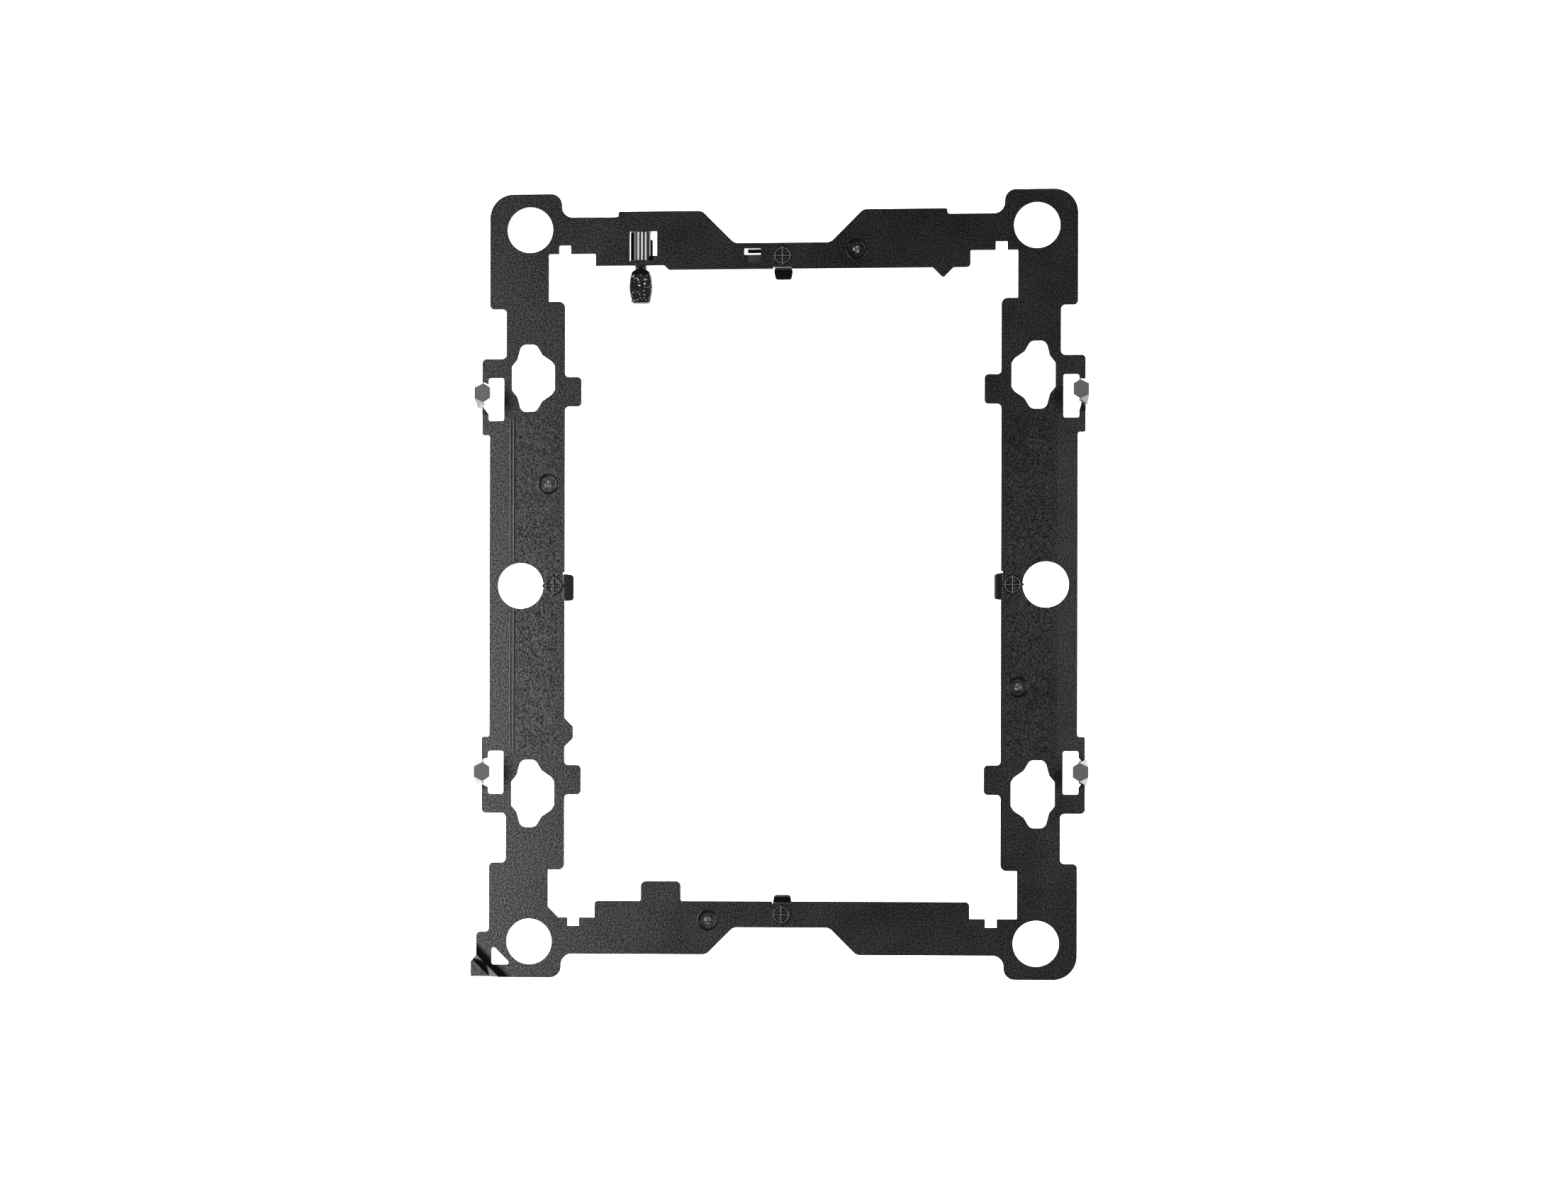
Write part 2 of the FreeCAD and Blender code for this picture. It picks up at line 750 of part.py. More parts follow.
def clip():
    """One heat sink clip, from the frame's edge: a tapered stem and a six-sided hooked head."""
    body = new_body("clip")
    side = new_sketch(body, "ClipSide", "XZ_Plane")
    stem = "-(shelf - slot_inner - slot_width)"
    draw_outline(side, [
        ("0", "-plate_thickness / 2"),
        (stem, "-plate_thickness / 2"),
        (stem, "clip_catch"),
        (f"{stem} - clip_nose", "clip_catch + clip_nose / 4"),
        (f"{stem} - clip_nose", "clip_height"),
        ("clip_flare", "clip_height"),
        ("clip_flare", "clip_catch + clip_nose / 2"),
        ("0", "clip_waist_height"),
    ])
    pad(body, "Stem", side, "clip_foot", middle=True)

    ends = new_sketch(body, "ClipEnds", "YZ_Plane")
    for end in (1, -1):
        draw_outline(ends, [
            (f"{end} * clip_foot / 2", "0"),
            (f"{end} * clip_waist / 2", "clip_waist_height"),
            (f"{end} * clip_ridge / 2", "clip_height"),
            (f"{end} * clip_foot", "clip_height"),
            (f"{end} * clip_foot", "0"),
        ])
    pocket(body, "Ends", ends, "2 * (shelf - slot_inner + overrun)", middle=True)

    nose = new_sketch(body, "ClipNose")
    for end in (1, -1):
        draw_outline(nose, [
            ("-clip_ridge_place", f"{end} * clip_ridge / 2"),
            (f"{stem} - clip_nose", f"{end} * clip_nose_width / 2"),
            (f"{stem} - clip_nose - overrun", f"{end} * clip_nose_width / 2"),
            (f"{stem} - clip_nose - overrun", f"{end} * clip_foot"),
            ("-clip_ridge_place", f"{end} * clip_foot"),
        ])
    pocket(body, "Nose", nose, "clip_height", up=True)

    sections = []
    across = "clip_ridge_place + clip_flare"
    drop = "(clip_ridge - clip_back_width) / 2"
    reach = "clip_foot / 2"
    for name, level, x, y in (
        ("BackTop", "clip_height", "-clip_ridge_place", "clip_ridge / 2"),
        ("BackFoot", "clip_waist_height", "0", "clip_waist / 2"),
    ):
        section = new_sketch(body, name, offset=level)
        draw_outline(section, [
            (x, y),
            (f"{x} + {across}", f"{y} - {drop}"),
            (f"{x} + {across} + {reach}", f"{y} - {drop}"),
            (f"{x} + {across} + {reach}", f"{y} + {reach}"),
            (x, f"{y} + {reach}"),
        ])
        sections.append(section)
    doc.recompute()
    before = body.Shape.Volume
    facet = body.newObject("PartDesign::SubtractiveLoft", "BackFacet")
    facet.Profile = sections[0]
    facet.Sections = sections[1:]
    facet.Ruled = True
    doc.recompute()
    twin = body.newObject("PartDesign::Mirrored", "BackFacets")
    twin.Originals = [facet]
    twin.MirrorPlane = (plane(body, "XZ_Plane"), [""])
    body.Tip = twin
    doc.recompute()
    if not twin.Shape.Volume < facet.Shape.Volume < before:
        raise RuntimeError("a back facet cuts nothing")
    fillet(body, "TopEdge", top_edges(twin.Shape), "clip_edge_radius")
    bind(body, "Placement.Base.x", "shelf")
    bind(body, "Placement.Base.y", "slot_place")
    return body


def latch(label, root, tip):
    """One package latch, from the opening's edge: an arm, a swept catch and a lead-in."""
    body = new_body(label)
    side = new_sketch(body, "LatchSide", "XZ_Plane")
    under = "-(seat_depth + package_thickness + package_gap)"
    back = "-(latch_setback + latch_thickness)"
    draw_outline(side, [
        (back, "-plate_thickness / 2"),
        ("-latch_setback", "-plate_thickness / 2"),
        ("-latch_setback", under),
        ("latch_nose - latch_lip / 2", f"{under} - latch_lip / 2"),
        ("latch_nose", f"{under} - latch_lip"),
        ("latch_nose", f"{under} - 2 * latch_lip"),
        (f"{back} + latch_run", "-latch_depth"),
        (back, "-latch_depth"),
    ])
    pad(body, "Arm", side, root, middle=True)
    plan = new_sketch(body, "LatchPlan")
    loops = [[
        ("-latch_setback", f"{end} * {root} / 2", ""),
        ("latch_nose", f"{end} * {tip} / 2", "latch_corner_radius"),
        ("latch_nose + overrun", f"{end} * {tip} / 2", ""),
        ("latch_nose + overrun", f"{end} * {root}", ""),
        ("-latch_setback", f"{end} * {root}", ""),
    ] for end in (1, -1)]
    for loop in loops:
        draw_outline(plan, loop)
    pocket(body, "Taper", plan, "latch_depth + overrun")
    round_corners(body, "NoseCorner", plan, loops[0] + loops[1])
    return body


def latches(label, root, tip, turn, reach):
    """A package latch and its twin across the opening."""
    one = latch(label, root, tip)
    one.Placement.Rotation = FreeCAD.Rotation(FreeCAD.Vector(0, 0, 1), turn)
    half = "opening_half_width" if reach == "x" else "opening_half_length"
    bind(one, f"Placement.Base.{reach}", half)
    return [one, copy_mirrored(one, f"{label}_far", ACROSS if reach == "x" else ALONG)]


def frame():
    """The whole moulding: plate, ribs, post, clips and latches in one solid."""
    blank = [rounded_core("plate", OUTER), corner_post()]
    cut_plate = join("cut_plate", "Part::Cut", [
        join("blank", "Part::MultiFuse", blank),
        join("plate_cuts", "Part::MultiFuse", plate_cores() + [ramp_core()]),
    ])
    ribs = join("ribs", "Part::MultiFuse", [cut_plate] + underside())
    bored = join("bored", "Part::Cut", [ribs, join("bore_cuts", "Part::MultiFuse", bearing_cores())])
    hooks = four_ways(clip())
    hooks += latches("side_latch", "side_latch_root", "side_latch_tip", 180, "x")
    hooks += latches("end_latch", "end_latch_root", "end_latch_tip", -90, "y")
    whole = join("carrier_frame", "Part::MultiFuse", [bored] + hooks)
    whole.Refine = True
    doc.recompute()
    return whole


def lever():
    """The release lever: collar, neck, fluted drum and journal, a flattened cam and an arm."""
    body = new_body("release_lever")
    turned = new_sketch(body, "TurnedProfile")
    drum_end = "window_high - window_low - end_gap"
    profile = [
        ("0", "-cam_end", ""),
        ("cam_end_radius", "-cam_end", "cam_end_round"),
        ("cam_middle_radius", "-cam_middle", "cam_middle_round"),
        ("cam_top_radius", "-cam_top", "cam_top_round"),
        ("collar_radius", "-cam_start", ""),
        ("collar_radius", "-(window_low - lever_edge + end_gap)", ""),
        ("neck_radius", "-(window_low - lever_edge + end_gap)", ""),
        ("neck_radius", "end_gap", ""),
        ("drum_radius", "end_gap", ""),
        ("drum_radius", drum_end, ""),
        ("neck_radius", drum_end, ""),
        ("neck_radius", "window_high - window_low + journal_length", ""),
        ("0", "window_high - window_low + journal_length", ""),
    ]
    draw_outline(turned, profile)
    doc.recompute()
    spin = body.newObject("PartDesign::Revolution", "Turned")
    spin.Profile = turned
    spin.ReferenceAxis = (turned, ["V_Axis"])
    spin.Angle = 360.0
    doc.recompute()

    round_corners(body, "CamRound", turned, profile, find=ring_edges)

    flats = new_sketch(body, "CamFlats", "YZ_Plane")
    for side in (1, -1):
        draw_box(
            flats, "-(cam_end + overrun)", "-(cam_start + end_gap)",
            f"{side} * cam_thickness / 2", f"{side} * 2 * drum_radius",
        )
    pocket(body, "Flats", flats, "4 * drum_radius", middle=True)

    flute = new_sketch(body, "Flute", "XZ_Plane", "-end_gap")
    draw_circle(
        flute, "-drum_radius * sin(flute_first * 1deg)", "drum_radius * cos(flute_first * 1deg)",
        "flute_radius",
    )
    groove = pocket(body, "Groove", flute, drum_end)
    fan = body.newObject("PartDesign::PolarPattern", "Flutes")
    fan.Originals = [groove]
    fan.Axis = (plane(body, "Y_Axis"), [""])
    bind(fan, "Angle", "flute_spread")
    bind(fan, "Occurrences", "flute_count")
    body.Tip = fan
    doc.recompute()

    top = "lever_depth - plate_thickness - arm_below_plate"
    arm = new_sketch(body, "ArmPlan", offset=top)
    low = "end_gap + running_gap"
    corners = [
        ("drum_radius / 2", low, ""),
        ("arm_root_length", low, ""),
        ("arm_root_length + arm_jog", f"{low} - arm_jog", ""),
        ("arm_length", f"{low} - arm_jog", "arm_tip_radius"),
        ("arm_length", f"{low} - arm_jog + arm_width", "arm_tip_radius"),
        ("web_length", f"{low} - arm_jog + arm_width", ""),
        ("web_length", f"{low} + web_width", "web_corner_radius"),
        ("drum_radius / 2", f"{low} + web_width", ""),
    ]
    draw_outline(arm, corners)
    pad(body, "Arm", arm, "arm_thickness", down=True)
    pull = new_sketch(body, "FingerPull", offset=f"{top} - arm_thickness")
    draw_box(
        pull, "arm_length - pull_length", "arm_length",
        f"{low} - arm_jog", f"{low} - arm_jog + arm_width",
    )
    pad(body, "Pull", pull, "pull_depth", down=True)
    round_corners(body, "ArmRound", arm, corners)

    bind(body, "Placement.Base.x", "-lever_across")
    bind(body, "Placement.Base.y", "window_low")
    bind(body, "Placement.Base.z", "-lever_depth")
    doc.recompute()
    return body


def export(parts):
    """Check the whole document, then write one file for each sub-part."""
    for item in doc.Objects:
        if {"Invalid", "Error"} & set(item.State):
            raise RuntimeError(f"{item.Label}: {item.State}")
    os.makedirs("parts", exist_ok=True)
    for part in parts:
        if part.Shape.isNull() or not part.Shape.isValid():
            raise RuntimeError(f"{part.Label} is not a sound shape")
        part.Shape.exportStep(f"parts/{part.Label}.step")
        print(part.Label, len(part.Shape.Solids), round(part.Shape.Volume, 3), part.Shape.BoundBox)


export([frame(), lever()])
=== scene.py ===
import math

import bpy
import numpy as np
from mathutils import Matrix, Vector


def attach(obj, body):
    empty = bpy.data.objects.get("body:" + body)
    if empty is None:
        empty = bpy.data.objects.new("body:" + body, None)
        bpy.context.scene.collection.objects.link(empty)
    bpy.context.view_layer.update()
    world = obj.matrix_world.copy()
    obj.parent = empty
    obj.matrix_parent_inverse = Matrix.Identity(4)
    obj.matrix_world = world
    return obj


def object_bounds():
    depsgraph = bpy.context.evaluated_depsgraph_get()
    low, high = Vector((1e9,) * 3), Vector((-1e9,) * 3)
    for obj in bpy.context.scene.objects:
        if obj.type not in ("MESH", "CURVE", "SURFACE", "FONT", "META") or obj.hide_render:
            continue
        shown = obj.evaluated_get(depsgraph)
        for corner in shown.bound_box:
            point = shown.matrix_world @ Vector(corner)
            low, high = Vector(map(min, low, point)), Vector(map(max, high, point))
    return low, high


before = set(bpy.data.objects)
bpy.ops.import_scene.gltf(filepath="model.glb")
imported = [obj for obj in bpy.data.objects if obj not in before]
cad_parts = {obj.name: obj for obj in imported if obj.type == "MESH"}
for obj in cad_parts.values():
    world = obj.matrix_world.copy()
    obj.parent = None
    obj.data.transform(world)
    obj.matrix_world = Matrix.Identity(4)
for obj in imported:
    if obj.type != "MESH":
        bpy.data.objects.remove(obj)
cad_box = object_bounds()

# Finishes, small moulded marks, stage and camera for a processor carrier frame.
# Everything is in metres in the frame's own axes: X across, Y along, Z up out of the plate.

bl_info = {
    "name": "Processor Carrier Frame",
    "version": (1, 0, 0),
    "blender": (4, 5, 0),
    "location": "View3D > Sidebar > Carrier",
    "description": "Dresses a moulded processor carrier frame and its release lever",
    "category": "Object",
}

MM = 0.001
# The opal sheet lies this far under the part's lowest point, so that the turned lever clears it
FLOOR_DROP = 16.0
FLOOR_LEVEL = cad_box[0].z - FLOOR_DROP * MM

# Places on the plate, in millimetres: crosshair marks and moulding gates
MARKS = ((0.0, 53.95), (0.0, -53.95), (37.6, 0.0), (-37.6, 0.0))
GATES = ((12.1, 54.9), (-12.1, -54.9), (-38.55, 16.7), (38.55, -16.7))
GATE_FLOOR = -0.35
GATE_EDGE = 1.52
# A gate stub fills this share of its recess's depth, and the stubs' seeds count up from the first
STUB_SHARE = 0.92
FIRST_SEED = 3
INSERT_EDGES = (-44.1, -44.65)
# Each insert edge runs from the side hole's rim to the insert's end, on both sides of the hole
INSERT_START, INSERT_END = 3.75, 27.9
# Height of the crosshairs' feet and of the witness lines, as shares of the raised lines' height
FOOT_RISE = 0.15
WITNESS_RISE = 0.3
# X plus Y at the outermost point of the marked corner, in metres
CORNER = cad_box[0].x + cad_box[0].y

# Where a finish, or a painted light or shade, begins and where it is whole, in millimetres
LEDGE_REACH = (3.3, 3.1)  # X plus Y, counted from CORNER
PATCH_REACH = (7.6, 6.4)  # X plus Y, counted from CORNER
GRAIN_LEVEL, GRAIN_BAND = -0.17, 0.22  # middle and half height of the grained layer
CLIP_FOOT = (1.0, 3.0)  # Z
# Height band of the painted shade round each clip top's edge
CLIP_SHADE_RIM = (8.62, 8.72)  # Z
# Height where the clip tops' painted grey reflection begins
CLIP_REFLECTION_TOP = (8.95, 8.98)  # Z
# Outer strips of the long bars, painted lighter as a sheen where the light falls on them
SHEEN_STRIP_ACROSS = (44.8, 45.0)  # distance from the middle along X
SHEEN_STRIP_ALONG = (28.1, 27.9)  # distance from the middle along Y
LEVER_AXIS = (-23.35, -1.4)  # X and Z
PADDLE_END = (51.2, 50.9)  # Y
ARM_START = (-21.2, -21.0)  # X
DRUM_START = (53.38, 53.45)  # Y
# The band round the drum's flutes where white highlights are painted
FLUTE_HIGHLIGHT_ROOT = (1.40, 1.45)  # distance from the lever's axis
FLUTE_HIGHLIGHT_TIP = (1.68, 1.64)  # distance from the lever's axis
FLUTE_HIGHLIGHT_SIDE = (-22.20, -22.25)  # X

# Stage
FLOOR_REACH = 80.0  # metres from the middle to the sheet's edge
FLOOR_POINTS = 9
CAMERA_FOOT = (22.35, -37.1)  # millimetres, X and Y
CAMERA_SHIFT = (0.0550, 0.1426)  # shares of the sensor's width
CAMERA_CLIP = (0.01, 200.0)  # metres, nearest and furthest
SENSOR_WIDTH = 36.0  # millimetres
WORLD_STRENGTH = 0.1
# Lamps: name, place and size in metres, power in watts
LAMPS = (
    ("left_softbox", (-0.22, -0.05, 0.50), (0.12, 0.34), 1.38),
    ("right_softbox", (0.22, 0.02, 0.50), (0.09, 0.12), 0.42),
    ("left_side_box", (-0.90, 0.20, 0.40), (0.50, 0.60), 3.0),
    ("right_side_box", (0.90, 0.30, 0.45), (0.50, 0.60), 3.0),
)

# Faces that meet at more than this keep a sharp edge
SHARP_ANGLE = math.radians(40)


# Settings


class CarrierFinish(bpy.types.PropertyGroup):
    """Colours and grain of the moulded pieces."""

    black: bpy.props.StringProperty(
        name="Moulded black",
        description="sRGB colour of the carbon-filled polymer where its grain is deepest",
        default="#060607",
    )
    worn_black: bpy.props.StringProperty(
        name="Grained black",
        description="sRGB colour of the same polymer where the grain stands up",
        default="#0f0f10",
    )
    lever_black: bpy.props.StringProperty(
        name="Lever black",
        description="sRGB colour of the lever's unfilled black polymer",
        default="#0a0a0b",
    )
    grain: bpy.props.FloatProperty(
        name="Grain width",
        description="Width of one spark-eroded pit, drawn coarse enough to show",
        default=0.27 * MM, min=0.05 * MM, max=2 * MM, unit="LENGTH", precision=5,
    )
    cloud: bpy.props.FloatProperty(
        name="Flow cloud width",
        description="Width of the soft patches that the melt leaves as it cools",
        default=7 * MM, min=1 * MM, max=40 * MM, unit="LENGTH", precision=4,
    )


class CarrierMarks(bpy.types.PropertyGroup):
    """Sizes of the small marks that the mould leaves on the plate."""

    ring: bpy.props.FloatProperty(
        name="Crosshair radius",
        description="Radius of the ring in each crosshair mark",
        default=1.25 * MM, min=0.5 * MM, max=3 * MM, unit="LENGTH", precision=5,
    )
    arm: bpy.props.FloatProperty(
        name="Crosshair arm",
        description="Reach of each crosshair arm from its centre",
        default=1.65 * MM, min=0.5 * MM, max=4 * MM, unit="LENGTH", precision=5,
    )
    line: bpy.props.FloatProperty(
        name="Line width",
        description="Width of the raised lines",
        default=0.20 * MM, min=0.05 * MM, max=1 * MM, unit="LENGTH", precision=5,
    )
    foot: bpy.props.FloatProperty(
        name="Foot width",
        description="Width of the polished band that each raised line stands on",
        default=0.62 * MM, min=0.1 * MM, max=1 * MM, unit="LENGTH", precision=5,
    )
    height: bpy.props.FloatProperty(
        name="Line height",
        description="How far the raised lines stand out of the plate",
        default=0.07 * MM, min=0.01 * MM, max=0.5 * MM, unit="LENGTH", precision=5,
    )
    witness: bpy.props.FloatProperty(
        name="Witness line width",
        description="Width of the polished lines round the gates and along the mould insert",
        default=0.36 * MM, min=0.05 * MM, max=1 * MM, unit="LENGTH", precision=5,
    )
    vestige: bpy.props.FloatProperty(
        name="Gate stub radius",
        description="Radius of the broken stub in the middle of each gate recess",
        default=0.52 * MM, min=0.1 * MM, max=1 * MM, unit="LENGTH", precision=5,
    )


class CarrierStage(bpy.types.PropertyGroup):
    """Light table, lamps and camera."""

    floor: bpy.props.StringProperty(
        name="Floor colour",
        description="sRGB colour of the opal sheet under the frame",
        default="#f4f4f4",
    )
    glow: bpy.props.FloatProperty(
        name="Floor glow",
        description="Radiance of the light that comes up through the opal sheet",
        default=3.2, min=0.0, max=10.0,
    )
    lens: bpy.props.FloatProperty(
        name="Lens",
        description="Focal length on a 36 mm wide sensor, in millimetres",
        default=73.84, min=10, max=300,
    )
    height: bpy.props.FloatProperty(
        name="Camera height",
        description="Height of the camera over the plate",
        default=0.526, min=0.1, max=3, unit="LENGTH",
    )
    turn: bpy.props.FloatProperty(
        name="Camera turn",
        description="How far the camera looks towards the left long bar",
        default=math.radians(3.92), min=-0.5, max=0.5, subtype="ANGLE",
    )
    roll: bpy.props.FloatProperty(
        name="Camera roll",
        description="How far the camera is turned about the upright",
        default=math.radians(0.12), min=-0.5, max=0.5, subtype="ANGLE",
    )


# Small helpers


def linear(code):
    """Linear colour of an sRGB hex value: x/12.92 below 0.04045, else ((x+0.055)/1.055)^2.4."""
    parts = [int(code[k:k + 2], 16) / 255 for k in (1, 3, 5)]
    return (*[x / 12.92 if x <= 0.04045 else ((x + 0.055) / 1.055) ** 2.4 for x in parts], 1.0)


def node(tree, kind, settings=None, links=None):
    """Add a node, set its properties or input defaults, and link its inputs."""
    made = tree.nodes.new(kind)
    for name, value in (settings or {}).items():
        if hasattr(made, str(name)):
            setattr(made, name, value)
        else:
            made.inputs[name].default_value = value
    for name, source in (links or {}).items():
        tree.links.new(source, made.inputs[name])
    return made


def spread(tree, source, before, after):
    """The source's range before, mapped in a straight line onto the range after."""
    limits = {"From Min": before[0], "From Max": before[1], "To Min": after[0], "To Max": after[1]}
    return node(tree, "ShaderNodeMapRange", limits, {"Value": source}).outputs[0]


def step(tree, source, zero, one):
    """0 where the source is past the first value, 1 where it is past the second."""
    return spread(tree, source, (zero, one), (0.0, 1.0))


def edge(tree, source, places, start=0.0):
    """0 where the source is past the first place and 1 past the second, in mm from the start."""
    return step(tree, source, start + places[0] * MM, start + places[1] * MM)


def rest_of(tree, share):
    """One less the share."""
    return spread(tree, share, (0.0, 1.0), (1.0, 0.0))


def maths(tree, operation, first, second):
    """One operation of the Math node on two sockets."""
    return node(
        tree, "ShaderNodeMath", {"operation": operation}, {0: first, 1: second},
    ).outputs[0]


def times(tree, first, second):
    return maths(tree, "MULTIPLY", first, second)


def size_of(tree, source):
    """The source without its sign."""
    return node(tree, "ShaderNodeMath", {"operation": "ABSOLUTE"}, {0: source}).outputs[0]


def noise(tree, place, width, detail, rough):
    """Noise whose largest features are about as wide as the given length."""
    kind = {"Scale": 1 / width, "Detail": detail, "Roughness": rough}
    return node(tree, "ShaderNodeTexNoise", kind, {"Vector": place}).outputs[0]


def blend(tree, share, first, second):
    """Mix two colours, each of them a fixed value or a socket, by a share."""
    mix = node(tree, "ShaderNodeMix", {"data_type": "RGBA"}, {0: share})
    for slot, colour in ((6, first), (7, second)):
        if isinstance(colour, tuple):
            mix.inputs[slot].default_value = colour
        else:
            tree.links.new(colour, mix.inputs[slot])
    return mix.outputs[2]


def blend_value(tree, share, first, second):
    """Mix two numbers, each of them fixed or a socket, by a share."""
    mix = node(tree, "ShaderNodeMix", {"data_type": "FLOAT"}, {0: share})
    for slot, value in ((2, first), (3, second)):
        if isinstance(value, float):
            mix.inputs[slot].default_value = value
        else:
            tree.links.new(value, mix.inputs[slot])
    return mix.outputs[0]


def new_material(name):
    """An empty node material and its tree."""
    material = bpy.data.materials.new(name)
    material.use_nodes = True
    material.node_tree.nodes.clear()
    return material, material.node_tree


def dress(obj, material):
    obj.data.materials.clear()
    obj.data.materials.append(material)


def add_mesh(name, points, faces):
    """An object at the origin from an (n, 3) array of points and an (m, 4) array of corners."""
    mesh = bpy.data.meshes.new(name)
    mesh.vertices.add(len(points))
    mesh.vertices.foreach_set("co", np.asarray(points, dtype=np.float32).ravel())
    mesh.loops.add(faces.size)
    mesh.loops.foreach_set("vertex_index", faces.ravel().astype(np.int32))
    mesh.polygons.add(len(faces))
    mesh.polygons.foreach_set("loop_start", np.arange(0, faces.size, 4, dtype=np.int32))
    mesh.update(calc_edges=True)
    mesh.validate()
    obj = bpy.data.objects.new(name, mesh)
    bpy.context.scene.collection.objects.link(obj)
    return obj


def grid_faces(rows, columns, close_rows=False, close_columns=False):
    """Corners of the quads of a grid of rows by columns, wrapped round where asked."""
    r = np.arange(rows if close_rows else rows - 1)[:, None]
    c = np.arange(columns if close_columns else columns - 1)[None, :]
    r_next, c_next = (r + 1) % rows, (c + 1) % columns
    return np.stack(
        [r * columns + c, r_next * columns + c, r_next * columns + c_next, r * columns + c_next],
        axis=-1,
    ).reshape(-1, 4)


def smooth(obj):
    obj.data.shade_smooth()
    obj.data.set_sharp_from_angle(angle=SHARP_ANGLE)


# Shapes


def ridge_ring(radius, width, height, turns=72, across=9):
    """A low ridge bent into a ring.

    The point at turn t and section angle s is (radius + width/2 cos s) along the direction t,
    at the height times sin s, for s from 0 to 180 degrees.
    """
    t = np.linspace(0, 2 * np.pi, turns, endpoint=False)[:, None]
    s = np.linspace(0, np.pi, across)[None, :]
    r = radius + width / 2 * np.cos(s)
    points = np.stack([r * np.cos(t), r * np.sin(t), height * np.sin(s) + 0 * t], axis=-1)
    return points.reshape(-1, 3), grid_faces(turns, across, close_rows=True)[:, ::-1]


def ridge_bar(length, width, height, turn, along=24, across=9):
    """A low ridge along a straight line, with rounded ends, turned about its middle.

    At the share u from -1 to 1 of its half length the section is a half ellipse whose width
    and height both shrink as the square root of 1 - u^12.
    """
    u = np.sin(np.linspace(-np.pi / 2, np.pi / 2, along))[:, None]
    s = np.linspace(0, np.pi, across)[None, :]
    swell = np.sqrt(np.clip(1 - u ** 12, 0, 1))
    x = u * length / 2 + 0 * s
    y = width / 2 * swell * np.cos(s)
    z = height * swell * np.sin(s)
    points = np.stack(
        [x * np.cos(turn) - y * np.sin(turn), x * np.sin(turn) + y * np.cos(turn), z], axis=-1,
    )
    return points.reshape(-1, 3), grid_faces(along, across)


def broken_stub(radius, height, seed, turns=40, rings=14):
    """A snapped-off gate stub.

    At turn t and share r of the radius, the height falls as (1 - r^4) and is roughened by three
    sine waves in t and r whose phases come from a seeded generator.
    """
    phase = np.random.default_rng(seed).uniform(0, 2 * np.pi, 6)
    t = np.linspace(0, 2 * np.pi, turns, endpoint=False)[None, :]
    r = np.linspace(0.02, 1, rings)[:, None]
    rough = (
        0.30 * np.sin(3 * t + phase[0]) * np.sin(5 * r + phase[1])
        + 0.22 * np.sin(5 * t + phase[2]) * np.sin(9 * r + phase[3])
        + 0.16 * np.sin(9 * t + phase[4]) * np.sin(14 * r + phase[5])
    )
    outline = 1 + 0.12 * np.sin(3 * t + phase[2]) + 0.07 * np.sin(7 * t + phase[1])
    x = radius * outline * r * np.cos(t)
    y = radius * outline * r * np.sin(t)
    z = height * (1 - r ** 4) * (0.72 + rough)
    points = np.stack([x, y, z], axis=-1).reshape(-1, 3)
    return points, grid_faces(rings, turns, close_columns=True)


def gather(parts):
    """Several point and face sets as one, each moved to its own place."""
    points, faces, start = [], [], 0
    for (own_points, own_faces), place in parts:
        points.append(own_points + np.asarray(place))
        faces.append(own_faces + start)
        start += len(own_points)
    return np.concatenate(points), np.concatenate(faces)


# Finishes


